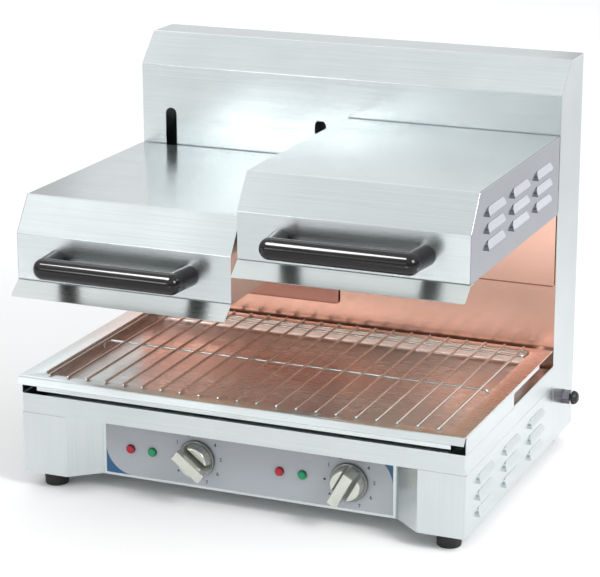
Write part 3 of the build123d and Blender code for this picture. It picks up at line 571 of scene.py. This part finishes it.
# a flat strip under the rim, behind the lip
def hangApron(values, low, high):
    sheet, drop = values["sheet"] * mm, values["apronDrop"] * mm
    back = low.y + values["apronBack"] * mm
    deselectAll()
    bpy.ops.mesh.primitive_cube_add(
        size=1, location=((low.x + high.x) / 2, back + sheet / 2, high.z - (drop + sheet) / 2))
    apron = bpy.context.object
    apron.scale = (high.x - low.x - 2 * values["apronIn"] * mm, sheet, drop - sheet)
    settle(apron)
    bpy.ops.object.mode_set(mode="EDIT")
    bpy.ops.mesh.select_all(action="SELECT")
    bpy.ops.mesh.bevel(offset=values["apronBevel"] * mm, segments=2)
    bpy.ops.object.mode_set(mode="OBJECT")
    return apron


def buildTray(values):
    low, high = (Vector(corner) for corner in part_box("drip_tray"))
    piece = formSheet(values, low, high)
    apron = hangApron(values, low, high)
    takeUp(piece)
    apron.select_set(True)
    bpy.ops.object.join()
    bpy.ops.object.shade_smooth_by_angle(angle=math.radians(values["smoothUnder"]))
    piece.data.materials.append(traySteel)
    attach(piece, "tray")
    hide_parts("drip_tray")


buildTray(tray)
print("tray formed")

# Studio, in metres: pale floor, soft boxes, white surroundings that are brightest overhead. The two pools
# light the floor that the heads mirror, and the last box is for the handles' long highlights.
studio = {
    "floorSize": 90.0,
    "floorColour": "#f6f6f6",
    "floorRoughness": 0.9,
    "skyColour": "#fdfeff",
    "skyTop": 1.0,
    "skyLow": 0.35,
    "skyFull": 0.7,        # height on the dome from which it is as bright as overhead
    "boxes": {
        "frontBox": {
            "place": (-1.25, -2.6, 1.0), "aim": (0, 0.1, 0.4), "size": (0.55, 0.5), "watts": 5.6},
        "frontRightBox": {
            "place": (-0.65, -2.7, 1.0), "aim": (0.1, 0.1, 0.4), "size": (0.6, 0.6), "watts": 1.4},
        "leftTopBox": {
            "place": (-2.0, -1.9, 2.5), "aim": (-0.1, -0.2, 0.3), "size": (1.2, 1.2), "watts": 2.3},
        "topBox": {
            "place": (-0.95, -0.55, 2.6), "aim": (0, 0, 0.3), "size": (1.6, 1.6), "watts": 0.9},
        "sideBox": {
            "place": (1.9, -0.9, 1.6), "aim": (0.45, 0.1, 0), "size": (0.9, 0.9), "watts": 7.5, "spread": 70},
        "rearBox": {
            "place": (-1.7, 2.4, 3.0), "aim": (-1.6, 2.5, 0), "size": (2.2, 2.2), "watts": 14, "spread": 130},
        "backBox": {
            "place": (-1.6, 3.9, 1.7), "aim": (0, 0.2, 0.5), "size": (1.6, 1.0), "watts": 2.7},
        "backRightBox": {
            "place": (2.2, 3.7, 0.95), "aim": (0.3, 0.1, 0.35), "size": (1.8, 1.7), "watts": 11},
        "rightPool": {
            "place": (0.75, -2.1, 1.2), "aim": (0.12, -1.5, 0), "size": (0.2, 0.2), "watts": 9, "spread": 24},
        "leftPool": {
            "place": (-1.7, -0.6, 1.2), "aim": (-1.0, -0.95, 0), "size": (0.2, 0.2), "watts": 2.5,
            "spread": 24},
        "handleBox": {
            "place": (-0.82, -1.06, 2.2), "aim": (0, -0.23, 0.34), "size": (0.9, 0.7), "watts": 70,
            "only": ("left_handle", "right_handle")},
    },
}


def softBox(name, values):
    lamp = bpy.data.lights.new(name, "AREA")
    lamp.shape = "RECTANGLE"
    lamp.size, lamp.size_y = values["size"]
    lamp.energy = values["watts"]
    lamp.spread = math.radians(values.get("spread", 180))
    light = bpy.data.objects.new(name, lamp)
    bpy.context.scene.collection.objects.link(light)
    light.location = values["place"]
    away = Vector(values["place"]) - Vector(values["aim"])
    light.rotation_euler = away.to_track_quat("Z", "Y").to_euler()
    if "only" in values:
        lit = bpy.data.collections.new(name + "Lit")
        for node in values["only"]:
            lit.objects.link(nodes[node])
        light.light_linking.receiver_collection = lit


def buildStudio(values):
    scene = bpy.context.scene
    scene.view_settings.view_transform = "Standard"
    world = bpy.data.worlds.new("whiteStudio")
    scene.world = world
    world.use_nodes = True
    tree = world.node_tree
    way = addNode(tree, "ShaderNodeTexCoord").outputs["Generated"]
    height = addNode(tree, "ShaderNodeSeparateXYZ", {"Vector": way}).outputs["Z"]
    glow = addNode(tree, "ShaderNodeMapRange", {
        "Value": height, "From Max": values["skyFull"],
        "To Min": values["skyLow"], "To Max": values["skyTop"]})
    setSockets(tree, tree.nodes["Background"], {
        "Strength": glow.outputs["Result"], "Color": linear(values["skyColour"])})
    deselectAll()
    bpy.ops.mesh.primitive_plane_add(size=values["floorSize"])
    floor = bpy.context.object
    floor.name = "studioFloor"
    paper, paperTree, paperShader = newMaterial("studioPaper")
    setSockets(paperTree, paperShader, {
        "Base Color": linear(values["floorColour"]), "Roughness": values["floorRoughness"]})
    floor.data.materials.append(paper)
    for name, box in values["boxes"].items():
        softBox(name, box)


buildStudio(studio)

# The photograph's camera: place in metres, angles in degrees, lens and sensor in millimetres.
photoCamera = {
    "place": (1.0638, -2.53285, 1.0578),
    "azimuth": 22.92,
    "lookDown": 16.433,
    "roll": -0.134,
    "lens": 132.72,
    "sensor": 36.0,
}


def buildCamera(values):
    data = bpy.data.cameras.new("photoCamera")
    data.lens, data.sensor_width = values["lens"], values["sensor"]
    camera = bpy.data.objects.new("photoCamera", data)
    bpy.context.scene.collection.objects.link(camera)
    turn, down = math.radians(values["azimuth"]), math.radians(values["lookDown"])
    ahead = Vector((-math.sin(turn) * math.cos(down), math.cos(turn) * math.cos(down), -math.sin(down)))
    camera.rotation_mode = "QUATERNION"
    upright = ahead.to_track_quat("-Z", "Y")
    camera.rotation_quaternion = upright @ Quaternion((0, 0, 1), math.radians(values["roll"]))
    camera.location = values["place"]
    bpy.context.scene.camera = camera


buildCamera(photoCamera)
print("studio and camera ready")
